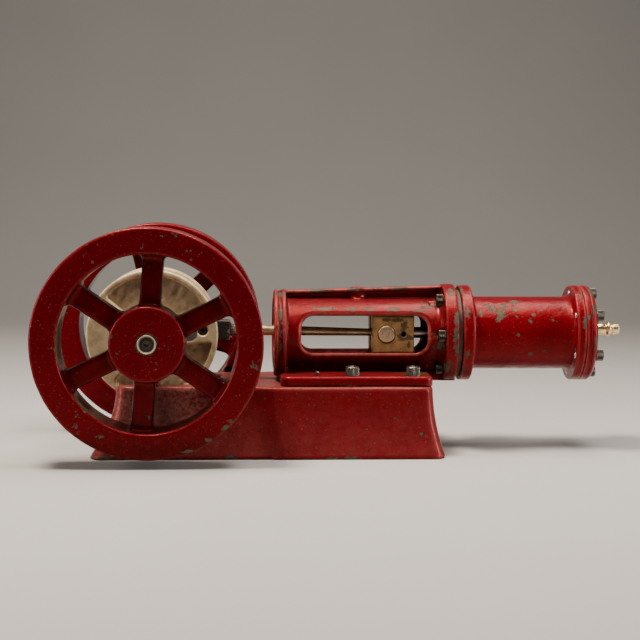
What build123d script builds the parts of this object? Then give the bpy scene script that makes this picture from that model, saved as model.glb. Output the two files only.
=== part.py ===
from build123d import *

import os
from math import asin, cos, degrees, radians, sin

# A small twin-flywheel horizontal steam engine: a hollow flared base, a trunk guide with
# a window on each side, a cylinder bolted to the guide, and a built-up crankshaft.
# Millimetres. +X runs from the crank to the cylinder, +Z is up, and the engine's
# middle plane is Y = 0. Distances along the engine are counted from the crank's axis.

# Running clearances
bearing_clearance = 0.05
rod_clearance = 0.08
sliding_clearance = 0.3
open_pivot_gap = 0.4

# Two measured lengths closer than this are the same
same_size = 0.01

# Height of the engine's axis, and the guide's left flange above the base
shaft_height = 123.0
flange_room = 3.5

# Flywheels
flywheel_radius = 114.3
rim_thickness = 26.5
wheel_room = 0.5
rim_edge_radius = 3.0
hub_radius = 37.5
hub_stand = 4.0
spoke_count = 6
spoke_width = 21.0
spoke_setback = 12.0
spoke_inner_setback = 14.0
spoke_fillet = 5.0
spoke_gap_ledge = 0.6
width_over_wheels = 282.0
front_spoke_angle = 86.0
rear_spoke_angle = 43.6
balance_hole_radius = 4.5
balance_hole_depth = 18.0
balance_hole_angle = 326.0

# Crankshaft
shaft_radius = 9.5
shaft_end_chamfer = 1.0
bore_mouth_chamfer = 0.8
centre_drill_radius = 2.0
centre_drill_depth = 6.0
crank_throw = 38.1
crank_angle = 5.5
crank_pin_radius = 9.0
disc_radius = 68.3
disc_outer_face = 40.0
disc_thickness = 22.0
disc_lip = 6.2
disc_recess = 5.5
disc_boss_radius = 22.0
disc_web_width = 26.0
disc_recess_corner = 3.0
disc_edge_radius = 1.0
counterweight_angle = 91.0
lock_screw_reach = 52.8
lock_screw_radius = 5.3
lock_screw_depth = 7.0

# Bearings
bearing_length = 20.0
bearing_room = 6.0
bearing_post_width = 18.0
bearing_boss_radius = 24.0
bearing_post_fillet = 8.0
bush_radius = 14.0
bush_overhang = 2.0

# Connecting rod
rod_length = 208.0
big_end_radius = 16.0
big_end_half_width = 17.0
palm_height = 21.0
palm_half_width = 10.0
palm_reach = 43.0
shank_start_radius = 6.1
shank_end_radius = 3.9
small_end_radius = 13.0
small_end_half_width = 8.0
rod_bush_wall = 2.5

# Crosshead
guide_bore_radius = 31.5
crosshead_length = 44.4
crosshead_flat = 25.0
crosshead_pin_setback = 15.1
crosshead_slot_half_width = 9.0
crosshead_slot_depth = 31.0
crosshead_pin_radius = 9.1
crosshead_pin_stand = 1.5
crosshead_pin_chamfer = 0.8
pinch_hole_radius = 2.7
pinch_hole_setback = 33.3
pinch_hole_depth = 15.0

# Trunk guide
guide_left = 126.9
guide_wall = 5.5
left_flange_thickness = 13.0
left_flange_radius = 46.5
left_flange_edge = 2.5
flange_groove_width = 2.6
flange_groove_depth = 1.5
right_flange_thickness = 13.6
right_flange_radius = 52.4
right_flange_edge = 1.2
bell_fillet = 9.0
crosshead_end_room = 34.2
window_height = 38.0
window_corner_radius = 13.0
window_edge_radius = 4.0
window_left_margin = 29.1
window_right_margin = 31.6
rib_thickness = 7.0
rib_cap_width = 14.0
rib_cap_thickness = 4.0
oil_boss_radius = 7.0
oil_boss_setback = 89.6
oil_boss_stand = 0.6
oil_hole_radius = 2.2
oil_hole_depth = 9.0
flange_screw_count = 6
flange_screw_reach = 41.9
screw_pocket_radius = 7.0

# Guide's foot
foot_thickness = 10.5
foot_left_setback = 6.0
foot_right_setback = 28.7
foot_half_width = 70.0
foot_corner_radius = 10.0
foot_edge_radius = 3.0
saddle_half_width = 17.0

# Cylinder
cylinder_bore_radius = 31.75
cylinder_wall = 6.95
cylinder_length = 130.0
cylinder_flange_radius = 50.8
front_flange_thickness = 12.0
rear_flange_thickness = 9.5
front_neck_fillet = 4.0
rear_neck_fillet = 7.0
flange_edge_radius = 1.5
head_thickness = 4.9
head_radius = 46.0
head_spigot = 8.0
gland_radius = 15.0
gland_length = 10.0
gland_edge = 1.5
piston_rod_radius = 6.0
piston_rod_seat = 12.0
piston_length = 24.0
piston_end_clearance = 5.0
ring_groove_width = 3.0
ring_groove_depth = 2.0
cover_thickness = 12.5
cover_chamfer = 3.0
cover_groove_width = 1.4
cover_groove_depth = 1.0
cover_groove_setback = 6.0
cover_spigot = 4.0

# Brass inlet fitting
fitting_rise = 3.9
fitting_boss_radius = 9.5
fitting_boss_length = 6.0
fitting_neck_radius = 5.8
fitting_neck_length = 13.4
fitting_bulge_radius = 6.7
fitting_collar_radius = 7.65
fitting_collar_length = 3.9
fitting_collar_edge = 1.0
fitting_groove_radius = 4.6
fitting_groove_length = 2.8
fitting_barrel_radius = 5.75
fitting_barrel_length = 6.9
fitting_bore_radius = 3.2
fitting_bore_depth = 14.0
fitting_edge = 0.8

# Base casting
base_left = 36.0
base_end_setback = 28.9
left_end_flare = 27.0
right_end_flare = 13.1
crank_part_half_width = 68.0
guide_part_half_width = 76.0
crank_foot_half_width = 86.5
guide_foot_half_width = 88.0
bend_start = 106.0
bend_length = 20.0
bend_slant = 12.0
base_corner_radius = 12.0
base_inner_corner_radius = 4.0
base_edge_radius = 3.0
base_wall = 8.0
base_deck = 10.0
base_levels = 5
pit_side_room = 4.5
pit_end_room = 1.7
pit_depth_room = 6.7
pit_corner_radius = 8.0

# Sizes and places that follow from the ones above
base_height = shaft_height - left_flange_radius - flange_room
rim_inner_radius = flywheel_radius - rim_thickness
wheel_outer_face = width_over_wheels / 2
rim_inner_face = crank_foot_half_width + wheel_room
rim_depth = wheel_outer_face - rim_inner_face
hub_depth = rim_depth + hub_stand
spoke_inner_face = rim_inner_face + spoke_inner_setback
spoke_depth = rim_depth - spoke_setback - spoke_inner_setback
bearing_middle = disc_outer_face + bearing_room + bearing_length / 2
crosshead_reach = crank_throw + rod_length - crosshead_pin_setback + crosshead_length
guide_right = crosshead_reach + crosshead_end_room + gland_length
guide_length = guide_right - guide_left
window_length = guide_length - window_left_margin - window_right_margin
foot_length = guide_length - foot_left_setback - foot_right_setback
base_right = guide_right - base_end_setback
pit_half_width = disc_outer_face + pit_side_room
pit_right = disc_radius + pit_end_room
pit_bottom = shaft_height - disc_radius - pit_depth_room
cylinder_left = guide_right + head_thickness
cylinder_right = cylinder_left + cylinder_length
cover_right = cylinder_right + cover_thickness
fitting_length = (
    fitting_boss_length + fitting_neck_length + fitting_collar_length
    + fitting_groove_length + fitting_barrel_length
)
fitting_tip = cover_right + fitting_length
crank_x = (flywheel_radius - fitting_tip) / 2
guide_shell_radius = guide_bore_radius + guide_wall
cylinder_body_radius = cylinder_bore_radius + cylinder_wall

crank_centre = Vector(crank_x, 0, shaft_height)
engine_plane = Plane(origin=crank_centre, x_dir=(1, 0, 0), z_dir=(0, -1, 0))
wheel_section = Plane(origin=crank_centre, x_dir=(1, 0, 0), z_dir=(0, 0, 1))
engine_axis = Axis(crank_centre, (1, 0, 0))
shaft_axis = Axis(crank_centre, (0, 1, 0))

crank_pin_x = crank_throw * cos(radians(crank_angle))
crank_pin_z = crank_throw * sin(radians(crank_angle))
rod_tilt = degrees(asin(crank_pin_z / rod_length))
crosshead_pin_x = crank_pin_x + rod_length * cos(radians(rod_tilt))
crosshead_left = crosshead_pin_x - crosshead_pin_setback
crosshead_right = crosshead_left + crosshead_length
crank_pin_centre = crank_centre + Vector(crank_pin_x, 0, crank_pin_z)
rod_plane = Plane(
    origin=crank_pin_centre,
    x_dir=(cos(radians(rod_tilt)), 0, -sin(radians(rod_tilt))),
    z_dir=(0, -1, 0),
)
rod_axis = Axis(crank_pin_centre, rod_plane.x_dir)

os.makedirs("parts", exist_ok=True)


def save(part, name):
    part.label = name
    export_step(part, f"parts/{name}.step")


# Base: a hollow casting that flares to its foot


def base_outline(height, inset):
    """The plan outline of the casting at a height, drawn in by an inset."""
    flare = (1 - height / base_height) ** 2
    left = crank_x - base_left - left_end_flare * flare + inset
    right = crank_x + base_right + right_end_flare * flare - inset
    crank_side = crank_part_half_width - inset
    crank_side += (crank_foot_half_width - crank_part_half_width) * flare
    guide_side = guide_part_half_width - inset
    guide_side += (guide_foot_half_width - guide_part_half_width) * flare
    bend = crank_x + bend_start + bend_slant * flare
    corner = base_inner_corner_radius if inset else base_corner_radius
    near = [(left, -crank_side), (bend, -crank_side), (bend + bend_length, -guide_side), (right, -guide_side)]
    far = [(x, -y) for x, y in reversed(near)]
    with BuildSketch(Plane.XY.offset(height)) as outline:
        with BuildLine():
            Polyline(*near, *far, close=True)
        make_face()
        fillet(outline.vertices(), corner)
    return outline.sketch


def base_form(top, inset):
    """The casting's body up to a height, as a loft through its plan outlines."""
    heights = [top * level / (base_levels - 1) for level in range(base_levels)]
    with BuildPart() as form:
        loft([base_outline(height, inset) for height in heights])
    return form.part


base_outside = base_form(base_height, 0)
base_cavity = base_form(base_height - base_deck, base_wall)

pit_left = -(base_left + left_end_flare)
with BuildPart() as base:
    add(base_outside)
    fillet(base.faces().sort_by(Axis.Z)[-1].edges(), base_edge_radius)
    add(base_cavity, mode=Mode.SUBTRACT)
    with BuildSketch(Plane.XY.offset(pit_bottom)) as pit:
        with Locations((crank_x + (pit_left + pit_right) / 2, 0)):
            Rectangle(pit_right - pit_left, 2 * pit_half_width)
        fillet(pit.vertices().group_by(Axis.X)[-1], pit_corner_radius)
    extrude(amount=base_height - pit_bottom, mode=Mode.SUBTRACT)
save(base.part, "base")


# Crosshead guide: flanged tube, window on each side, top rib and bolted foot

window_middle = guide_left + window_left_margin + window_length / 2
groove_middle = guide_left + left_flange_thickness / 2
left_flange_end = guide_left + left_flange_thickness
right_flange_start = guide_right - right_flange_thickness
foot_left = guide_left + foot_left_setback
rib_left = groove_middle
rib_right = guide_right - right_flange_thickness / 2
rib_left_top = left_flange_radius - flange_groove_depth
rib_right_top = right_flange_radius - flange_groove_depth
oil_boss_place = guide_left + oil_boss_setback
rib_slope = (rib_right_top - rib_left_top) / (rib_right - rib_left)
oil_boss_top = shaft_height + rib_left_top + rib_slope * (oil_boss_place - rib_left) + oil_boss_stand

with BuildPart() as tube:
    with BuildSketch(engine_plane):
        with BuildLine():
            Polyline(
                (guide_left, guide_bore_radius),
                (guide_left, left_flange_radius),
                (groove_middle - flange_groove_width / 2, left_flange_radius),
                (groove_middle, left_flange_radius - flange_groove_depth),
                (groove_middle + flange_groove_width / 2, left_flange_radius),
                (left_flange_end, left_flange_radius),
                (left_flange_end, guide_shell_radius),
                (right_flange_start, guide_shell_radius),
                (right_flange_start, right_flange_radius),
                (guide_right, right_flange_radius),
                (guide_right, guide_bore_radius),
                close=True,
            )
        make_face()
    revolve(axis=engine_axis)
    rings = tube.edges().filter_by(GeomType.CIRCLE).sort_by(Axis.X)
    left_rings = rings.filter_by(lambda edge: abs(edge.radius - left_flange_radius) < same_size)
    fillet([left_rings[0], left_rings[-1]], left_flange_edge)
    right_rings = rings.filter_by(lambda edge: abs(edge.radius - right_flange_radius) < same_size)
    fillet(right_rings, right_flange_edge)
    neck = rings.filter_by(lambda edge: abs(edge.radius - guide_shell_radius) < same_size)[-1]
    fillet(neck, bell_fillet)
    # Window on each side, its outer edge rounded
    with BuildSketch(engine_plane):
        with Locations((window_middle, 0)):
            RectangleRounded(window_length, window_height, window_corner_radius)
    extrude(amount=guide_shell_radius, both=True, mode=Mode.SUBTRACT)
    shell = tube.faces().filter_by(GeomType.CYLINDER)
    shell = shell.filter_by(lambda face: abs(face.radius - guide_shell_radius) < same_size)
    window_start = crank_x + window_middle - window_length / 2
    window_end = window_start + window_length
    fillet(shell.edges().filter_by_position(Axis.X, window_start, window_end), window_edge_radius)
    # Pockets in the bell for the flange screws' heads
    with BuildSketch(Plane(origin=crank_centre + Vector(right_flange_start, 0, 0), z_dir=(-1, 0, 0))):
        with PolarLocations(flange_screw_reach, flange_screw_count):
            Circle(screw_pocket_radius)
    extrude(amount=bell_fillet, mode=Mode.SUBTRACT)

with BuildPart() as guide:
    # Foot and saddle
    with BuildSketch(Plane.XY.offset(base_height)) as foot:
        with Locations((crank_x + foot_left + foot_length / 2, 0)):
            Rectangle(foot_length, 2 * foot_half_width)
        fillet(foot.vertices(), foot_corner_radius)
    extrude(amount=foot_thickness)
    fillet(guide.faces().sort_by(Axis.Z)[-1].edges(), foot_edge_radius)
    with BuildSketch(Plane.XY.offset(base_height)):
        with Locations((crank_x + (foot_left + guide_right) / 2, 0)):
            Rectangle(guide_right - foot_left, 2 * saddle_half_width)
    extrude(amount=shaft_height - base_height)
    # Rib along the top, rising from the left flange to the right one, and the cap it carries
    with BuildSketch(engine_plane):
        with BuildLine():
            Polyline(
                (rib_left, 0),
                (rib_left, rib_left_top),
                (rib_right, rib_right_top),
                (rib_right, 0),
                close=True,
            )
        make_face()
    extrude(amount=rib_thickness / 2, both=True)
    with BuildSketch(engine_plane):
        with BuildLine():
            Polyline(
                (rib_left, rib_left_top - rib_cap_thickness),
                (rib_left, rib_left_top),
                (rib_right, rib_right_top),
                (rib_right, rib_right_top - rib_cap_thickness),
                close=True,
            )
        make_face()
    extrude(amount=rib_cap_width / 2, both=True)
    # Oil boss in the rib
    with BuildSketch(Plane.XY.offset(shaft_height)):
        with Locations((crank_x + oil_boss_place, 0)):
            Circle(oil_boss_radius)
    extrude(amount=oil_boss_top - shaft_height)
    with BuildSketch(Plane.XY.offset(oil_boss_top)):
        with Locations((crank_x + oil_boss_place, 0)):
            Circle(oil_hole_radius)
    extrude(amount=-oil_hole_depth, mode=Mode.SUBTRACT)
    # The tube's bore passes through all of them
    with BuildSketch(Plane(origin=crank_centre + Vector(guide_left, 0, 0), z_dir=(1, 0, 0))):
        Circle(guide_bore_radius)
    extrude(amount=guide_length, mode=Mode.SUBTRACT)
    add(tube.part)
save(guide.part, "crosshead_guide")


# Bearing posts and bushes, one pair on each side of the crank pit

post_plane = engine_plane.offset(bearing_middle)
with BuildPart() as front_post:
    with BuildSketch(post_plane) as post_outline:
        Circle(bearing_boss_radius)
        with Locations((0, (base_height - shaft_height) / 2)):
            Rectangle(bearing_post_width, shaft_height - base_height)
        armpits = post_outline.vertices().filter_by(lambda corner: corner.Y < -same_size)
        fillet(armpits.sort_by(Axis.Y)[-2:], bearing_post_fillet)
        Circle(bush_radius, mode=Mode.SUBTRACT)
    extrude(amount=bearing_length / 2, both=True)
save(front_post.part, "front_bearing_post")
save(mirror(front_post.part, about=Plane.XZ), "rear_bearing_post")

with BuildPart() as front_bush:
    with BuildSketch(post_plane):
        Circle(bush_radius)
        Circle(shaft_radius + bearing_clearance, mode=Mode.SUBTRACT)
    extrude(amount=bearing_length / 2 + bush_overhang, both=True)
save(front_bush.part, "front_bearing_bush")
save(mirror(front_bush.part, about=Plane.XZ), "rear_bearing_bush")


# Cylinder, its heads and the brass inlet fitting

with BuildPart() as head:
    with BuildSketch(engine_plane):
        with BuildLine():
            Polyline(
                (guide_right, piston_rod_radius + rod_clearance),
                (guide_right, head_radius),
                (cylinder_left, head_radius),
                (cylinder_left, cylinder_bore_radius),
                (cylinder_left + head_spigot, cylinder_bore_radius),
                (cylinder_left + head_spigot, piston_rod_radius + rod_clearance),
                close=True,
            )
        make_face()
    revolve(axis=engine_axis)
save(head.part, "cylinder_front_head")

with BuildPart() as gland:
    with BuildSketch(engine_plane):
        with BuildLine():
            Polyline(
                (guide_right - gland_length, piston_rod_radius + rod_clearance),
                (guide_right - gland_length, gland_radius - gland_edge),
                (guide_right - gland_length + gland_edge, gland_radius),
                (guide_right, gland_radius),
                (guide_right, piston_rod_radius + rod_clearance),
                close=True,
            )
        make_face()
    revolve(axis=engine_axis)
save(gland.part, "piston_rod_gland")

front_flange_end = cylinder_left + front_flange_thickness
rear_flange_start = cylinder_right - rear_flange_thickness
with BuildPart() as cylinder:
    with BuildSketch(engine_plane) as section:
        with BuildLine():
            Polyline(
                (cylinder_left, cylinder_bore_radius),
                (cylinder_left, cylinder_flange_radius),
                (front_flange_end, cylinder_flange_radius),
                (front_flange_end, cylinder_body_radius),
                (rear_flange_start, cylinder_body_radius),
                (rear_flange_start, cylinder_flange_radius),
                (cylinder_right, cylinder_flange_radius),
                (cylinder_right, cylinder_bore_radius),
                close=True,
            )
        make_face()
    revolve(axis=engine_axis)
    necks = cylinder.edges().filter_by(GeomType.CIRCLE).sort_by(Axis.X)
    necks = necks.filter_by(lambda edge: abs(edge.radius - cylinder_body_radius) < same_size)
    fillet(necks[0], front_neck_fillet)
    fillet(necks[-1], rear_neck_fillet)
    rims = cylinder.edges().filter_by(GeomType.CIRCLE).sort_by(Axis.X)
    rims = rims.filter_by(lambda edge: abs(edge.radius - cylinder_flange_radius) < same_size)
    fillet(rims[:-1], flange_edge_radius)
save(cylinder.part, "cylinder")

cover_groove_start = cylinder_right + cover_groove_setback
cover_groove_bottom = cylinder_flange_radius - cover_groove_depth
with BuildPart() as cover:
    with BuildSketch(engine_plane):
        with BuildLine():
            Polyline(
                (cylinder_right - cover_spigot, 0),
                (cylinder_right - cover_spigot, cylinder_bore_radius),
                (cylinder_right, cylinder_bore_radius),
                (cylinder_right, cylinder_flange_radius),
                (cover_groove_start, cylinder_flange_radius),
                (cover_groove_start, cover_groove_bottom),
                (cover_groove_start + cover_groove_width, cover_groove_bottom),
                (cover_groove_start + cover_groove_width, cylinder_flange_radius),
                (cover_right - cover_chamfer, cylinder_flange_radius),
                (cover_right, cylinder_flange_radius - cover_chamfer),
                (cover_right, 0),
                close=True,
            )
        make_face()
    revolve(axis=engine_axis)
save(cover.part, "cylinder_cover")

fitting_centre = crank_centre + Vector(cover_right, 0, fitting_rise)
fitting_plane = Plane(origin=fitting_centre, x_dir=(1, 0, 0), z_dir=(0, -1, 0))
neck_start = fitting_boss_length
collar_start = neck_start + fitting_neck_length
groove_start = collar_start + fitting_collar_length
barrel_start = groove_start + fitting_groove_length
with BuildPart() as fitting:
    with BuildSketch(fitting_plane):
        with BuildLine():
            Polyline(
                (0, 0),
                (0, fitting_boss_radius),
                (neck_start - fitting_edge, fitting_boss_radius),
                (neck_start, fitting_boss_radius - fitting_edge),
                (neck_start, fitting_neck_radius),
            )
            ThreePointArc(
                (neck_start, fitting_neck_radius),
                ((neck_start + collar_start) / 2, fitting_bulge_radius),
                (collar_start, fitting_neck_radius),
            )
            Polyline(
                (collar_start, fitting_neck_radius),
                (collar_start, fitting_collar_radius),
                (groove_start, fitting_collar_radius),
                (groove_start, fitting_groove_radius),
                (barrel_start, fitting_groove_radius),
                (barrel_start, fitting_barrel_radius),
                (fitting_length - fitting_edge, fitting_barrel_radius),
                (fitting_length, fitting_barrel_radius - fitting_edge),
                (fitting_length, fitting_bore_radius),
                (fitting_length - fitting_bore_depth, fitting_bore_radius),
                (fitting_length - fitting_bore_depth, 0),
                (0, 0),
            )
        make_face()
    revolve(axis=Axis(fitting_centre, (1, 0, 0)))
    collar_rims = fitting.edges().filter_by(GeomType.CIRCLE)
    fillet(collar_rims.filter_by(lambda edge: abs(edge.radius - fitting_collar_radius) < same_size), fitting_collar_edge)
save(fitting.part, "inlet_fitting")


# Flywheels: rim and hub turned from one casting with six straight spokes


def make_flywheel(first_spoke, drilled):
    """The front flywheel, with its first spoke at an angle and perhaps a balance hole."""
    rim_middle = (rim_inner_radius + flywheel_radius) / 2
    with BuildPart() as flywheel:
        # Hub, web and rim in one turned section
        with BuildSketch(wheel_section):
            with Locations((rim_middle, rim_depth / 2 - wheel_outer_face)):
                RectangleRounded(rim_thickness, rim_depth, rim_edge_radius)
            with Locations(((shaft_radius + hub_radius) / 2, hub_depth / 2 - wheel_outer_face)):
                Rectangle(hub_radius - shaft_radius, hub_depth)
            with Locations(((hub_radius + rim_inner_radius) / 2, -spoke_inner_face - spoke_depth / 2)):
                Rectangle(rim_inner_radius - hub_radius, spoke_depth)
        revolve(axis=shaft_axis)
        mouth = flywheel.edges().filter_by(GeomType.CIRCLE)
        mouth = mouth.filter_by(lambda edge: abs(edge.radius - shaft_radius) < same_size)
        chamfer(mouth.sort_by(Axis.Y)[0], bore_mouth_chamfer)
        # Gaps through the web, which leave the spokes
        with BuildSketch(engine_plane.offset(spoke_inner_face)) as gaps:
            Circle(rim_inner_radius - spoke_gap_ledge)
            Circle(hub_radius + spoke_gap_ledge, mode=Mode.SUBTRACT)
            with PolarLocations(rim_middle / 2, spoke_count, start_angle=first_spoke):
                Rectangle(rim_middle, spoke_width, mode=Mode.SUBTRACT)
            fillet(gaps.vertices(), spoke_fillet)
        extrude(amount=spoke_depth, mode=Mode.SUBTRACT)
        if drilled:
            with BuildSketch(engine_plane.offset(rim_inner_face)):
                with PolarLocations(rim_middle, 1, start_angle=balance_hole_angle):
                    Circle(balance_hole_radius)
            extrude(amount=balance_hole_depth, mode=Mode.SUBTRACT)
    return flywheel.part


save(make_flywheel(front_spoke_angle, False), "front_flywheel")
save(mirror(make_flywheel(rear_spoke_angle, True), about=Plane.XZ), "rear_flywheel")


# Shafts, crank discs and pins

disc_inner_face = disc_outer_face - disc_thickness
with BuildPart() as front_shaft:
    with BuildSketch(engine_plane.offset(disc_inner_face)):
        Circle(shaft_radius)
    extrude(amount=wheel_outer_face - disc_inner_face)
    chamfer(front_shaft.edges().filter_by(GeomType.CIRCLE).sort_by(Axis.Y)[0], shaft_end_chamfer)
    with BuildSketch(engine_plane.offset(wheel_outer_face)):
        Circle(centre_drill_radius)
    extrude(amount=-centre_drill_depth, mode=Mode.SUBTRACT)
save(front_shaft.part, "front_shaft")
save(mirror(front_shaft.part, about=Plane.XZ), "rear_shaft")

with BuildPart() as front_disc:
    with BuildSketch(engine_plane.offset(disc_inner_face)):
        Circle(disc_radius)
    extrude(amount=disc_thickness)
    fillet(front_disc.edges().filter_by(GeomType.CIRCLE), disc_edge_radius)
    # Recess in the outer face that leaves a lip, a boss, the crank's web and the counterweight
    with BuildSketch(engine_plane.offset(disc_outer_face - disc_recess)) as recess:
        Circle(disc_radius - disc_lip)
        Circle(disc_boss_radius, mode=Mode.SUBTRACT)
        with Locations(Rot(Z=crank_angle)):
            with Locations((disc_radius / 2, 0)):
                Rectangle(disc_radius, disc_web_width, mode=Mode.SUBTRACT)
            with BuildLine():
                half_sector = radians(counterweight_angle / 2)
                reach = disc_radius / cos(half_sector)
                Polyline(
                    (0, 0),
                    (-reach * cos(half_sector), reach * sin(half_sector)),
                    (-reach, 0),
                    (-reach * cos(half_sector), -reach * sin(half_sector)),
                    close=True,
                )
            make_face(mode=Mode.SUBTRACT)
        fillet(recess.vertices(), disc_recess_corner)
    extrude(amount=disc_recess, mode=Mode.SUBTRACT)
    with BuildSketch(engine_plane.offset(disc_outer_face)):
        with PolarLocations(lock_screw_reach, 1, start_angle=crank_angle):
            Circle(lock_screw_radius)
    extrude(amount=-lock_screw_depth, mode=Mode.SUBTRACT)
    with BuildSketch(engine_plane.offset(disc_inner_face)):
        Circle(shaft_radius)
        with PolarLocations(crank_throw, 1, start_angle=crank_angle):
            Circle(crank_pin_radius)
    extrude(amount=disc_thickness, mode=Mode.SUBTRACT)
save(front_disc.part, "front_crank_disc")
save(mirror(front_disc.part, about=Plane.XZ), "rear_crank_disc")

pin_inner_end = big_end_half_width + open_pivot_gap
with BuildPart() as front_pin:
    with BuildSketch(engine_plane.offset(pin_inner_end)):
        with PolarLocations(crank_throw, 1, start_angle=crank_angle):
            Circle(crank_pin_radius)
    extrude(amount=disc_outer_face - pin_inner_end)
save(front_pin.part, "front_crank_pin")
save(mirror(front_pin.part, about=Plane.XZ), "rear_crank_pin")


# Connecting rod, drawn along its own line from the crank pin to the crosshead pin

big_end_bore = crank_pin_radius + rod_bush_wall
small_end_bore = crosshead_pin_radius + bearing_clearance + rod_bush_wall
with BuildPart() as rod:
    with BuildSketch(rod_plane):
        Circle(big_end_radius)
    extrude(amount=big_end_half_width, both=True)
    with BuildSketch(rod_plane):
        with Locations((palm_reach / 2, 0)):
            Rectangle(palm_reach, palm_height)
    extrude(amount=palm_half_width, both=True)
    with BuildSketch(rod_plane):
        with BuildLine():
            Polyline(
                (big_end_radius, 0),
                (big_end_radius, shank_start_radius),
                (palm_reach, shank_start_radius),
                (rod_length - small_end_radius, shank_end_radius),
                (rod_length, shank_end_radius),
                (rod_length, 0),
                close=True,
            )
        make_face()
    revolve(axis=rod_axis)
    with BuildSketch(rod_plane):
        with Locations((rod_length, 0)):
            Circle(small_end_radius)
    extrude(amount=small_end_half_width, both=True)
    with BuildSketch(rod_plane):
        Circle(big_end_bore)
        with Locations((rod_length, 0)):
            Circle(small_end_bore)
    extrude(amount=big_end_half_width, both=True, mode=Mode.SUBTRACT)
save(rod.part, "connecting_rod")

with BuildPart() as big_end_bush:
    with BuildSketch(rod_plane):
        Circle(big_end_bore)
        Circle(crank_pin_radius, mode=Mode.SUBTRACT)
    extrude(amount=big_end_half_width, both=True)
save(big_end_bush.part, "big_end_bush")

with BuildPart() as crank_journal:
    with BuildSketch(rod_plane):
        Circle(crank_pin_radius)
    extrude(amount=big_end_half_width, both=True)
save(crank_journal.part, "crank_journal")

with BuildPart() as small_end_bush:
    with BuildSketch(rod_plane):
        with Locations((rod_length, 0)):
            Circle(small_end_bore)
            Circle(crosshead_pin_radius + bearing_clearance, mode=Mode.SUBTRACT)
    extrude(amount=small_end_half_width, both=True)
save(small_end_bush.part, "small_end_bush")


# Crosshead: a round shoe with flat sides, forked round the rod's small end

crosshead_radius = guide_bore_radius - sliding_clearance
piston_rod_start = crosshead_right - piston_rod_seat
with BuildPart() as crosshead:
    with BuildSketch(Plane(origin=crank_centre + Vector(crosshead_left, 0, 0), z_dir=(1, 0, 0))):
        Circle(crosshead_radius)
    extrude(amount=crosshead_length)
    with BuildSketch(engine_plane.offset(-crosshead_flat)):
        with Locations((crosshead_left + crosshead_length / 2, 0)):
            Rectangle(crosshead_length, 2 * crosshead_radius)
    extrude(amount=2 * crosshead_flat, mode=Mode.INTERSECT)
    with BuildSketch(engine_plane):
        with Locations((crosshead_left + crosshead_slot_depth / 2, 0)):
            Rectangle(crosshead_slot_depth, 2 * crosshead_radius)
    extrude(amount=crosshead_slot_half_width, both=True, mode=Mode.SUBTRACT)
    with BuildSketch(engine_plane):
        with Locations((crosshead_pin_x, 0)):
            Circle(crosshead_pin_radius)
    extrude(amount=crosshead_flat, both=True, mode=Mode.SUBTRACT)
    for side in (crosshead_flat, -crosshead_flat):
        with BuildSketch(engine_plane.offset(side)):
            with Locations((crosshead_left + pinch_hole_setback, 0)):
                Circle(pinch_hole_radius)
        depth = -pinch_hole_depth if side > 0 else pinch_hole_depth
        extrude(amount=depth, mode=Mode.SUBTRACT)
    with BuildSketch(Plane(origin=crank_centre + Vector(piston_rod_start, 0, 0), z_dir=(1, 0, 0))):
        Circle(piston_rod_radius)
    extrude(amount=piston_rod_seat, mode=Mode.SUBTRACT)
save(crosshead.part, "crosshead")

with BuildPart() as crosshead_pin:
    with BuildSketch(engine_plane):
        with Locations((crosshead_pin_x, 0)):
            Circle(crosshead_pin_radius)
    extrude(amount=crosshead_flat + crosshead_pin_stand, both=True)
    chamfer(crosshead_pin.edges().filter_by(GeomType.CIRCLE), crosshead_pin_chamfer)
save(crosshead_pin.part, "crosshead_pin")

piston_right = cylinder_right - cover_spigot - piston_end_clearance
piston_left = piston_right - piston_length
with BuildPart() as piston_rod:
    with BuildSketch(Plane(origin=crank_centre + Vector(piston_rod_start, 0, 0), z_dir=(1, 0, 0))):
        Circle(piston_rod_radius)
    extrude(amount=piston_right - piston_rod_start)
save(piston_rod.part, "piston_rod")

piston_radius = cylinder_bore_radius - sliding_clearance
ring_groove_bottom = piston_radius - ring_groove_depth
first_groove = piston_left + piston_length / 3 - ring_groove_width / 2
second_groove = piston_right - piston_length / 3 - ring_groove_width / 2
with BuildPart() as piston:
    with BuildSketch(engine_plane):
        with BuildLine():
            Polyline(
                (piston_left, piston_rod_radius),
                (piston_left, piston_radius),
                (first_groove, piston_radius),
                (first_groove, ring_groove_bottom),
                (first_groove + ring_groove_width, ring_groove_bottom),
                (first_groove + ring_groove_width, piston_radius),
                (second_groove, piston_radius),
                (second_groove, ring_groove_bottom),
                (second_groove + ring_groove_width, ring_groove_bottom),
                (second_groove + ring_groove_width, piston_radius),
                (piston_right, piston_radius),
                (piston_right, piston_rod_radius),
                close=True,
            )
        make_face()
    revolve(axis=engine_axis)
save(piston.part, "piston")
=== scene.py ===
from math import cos, pi, radians, sin

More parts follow.
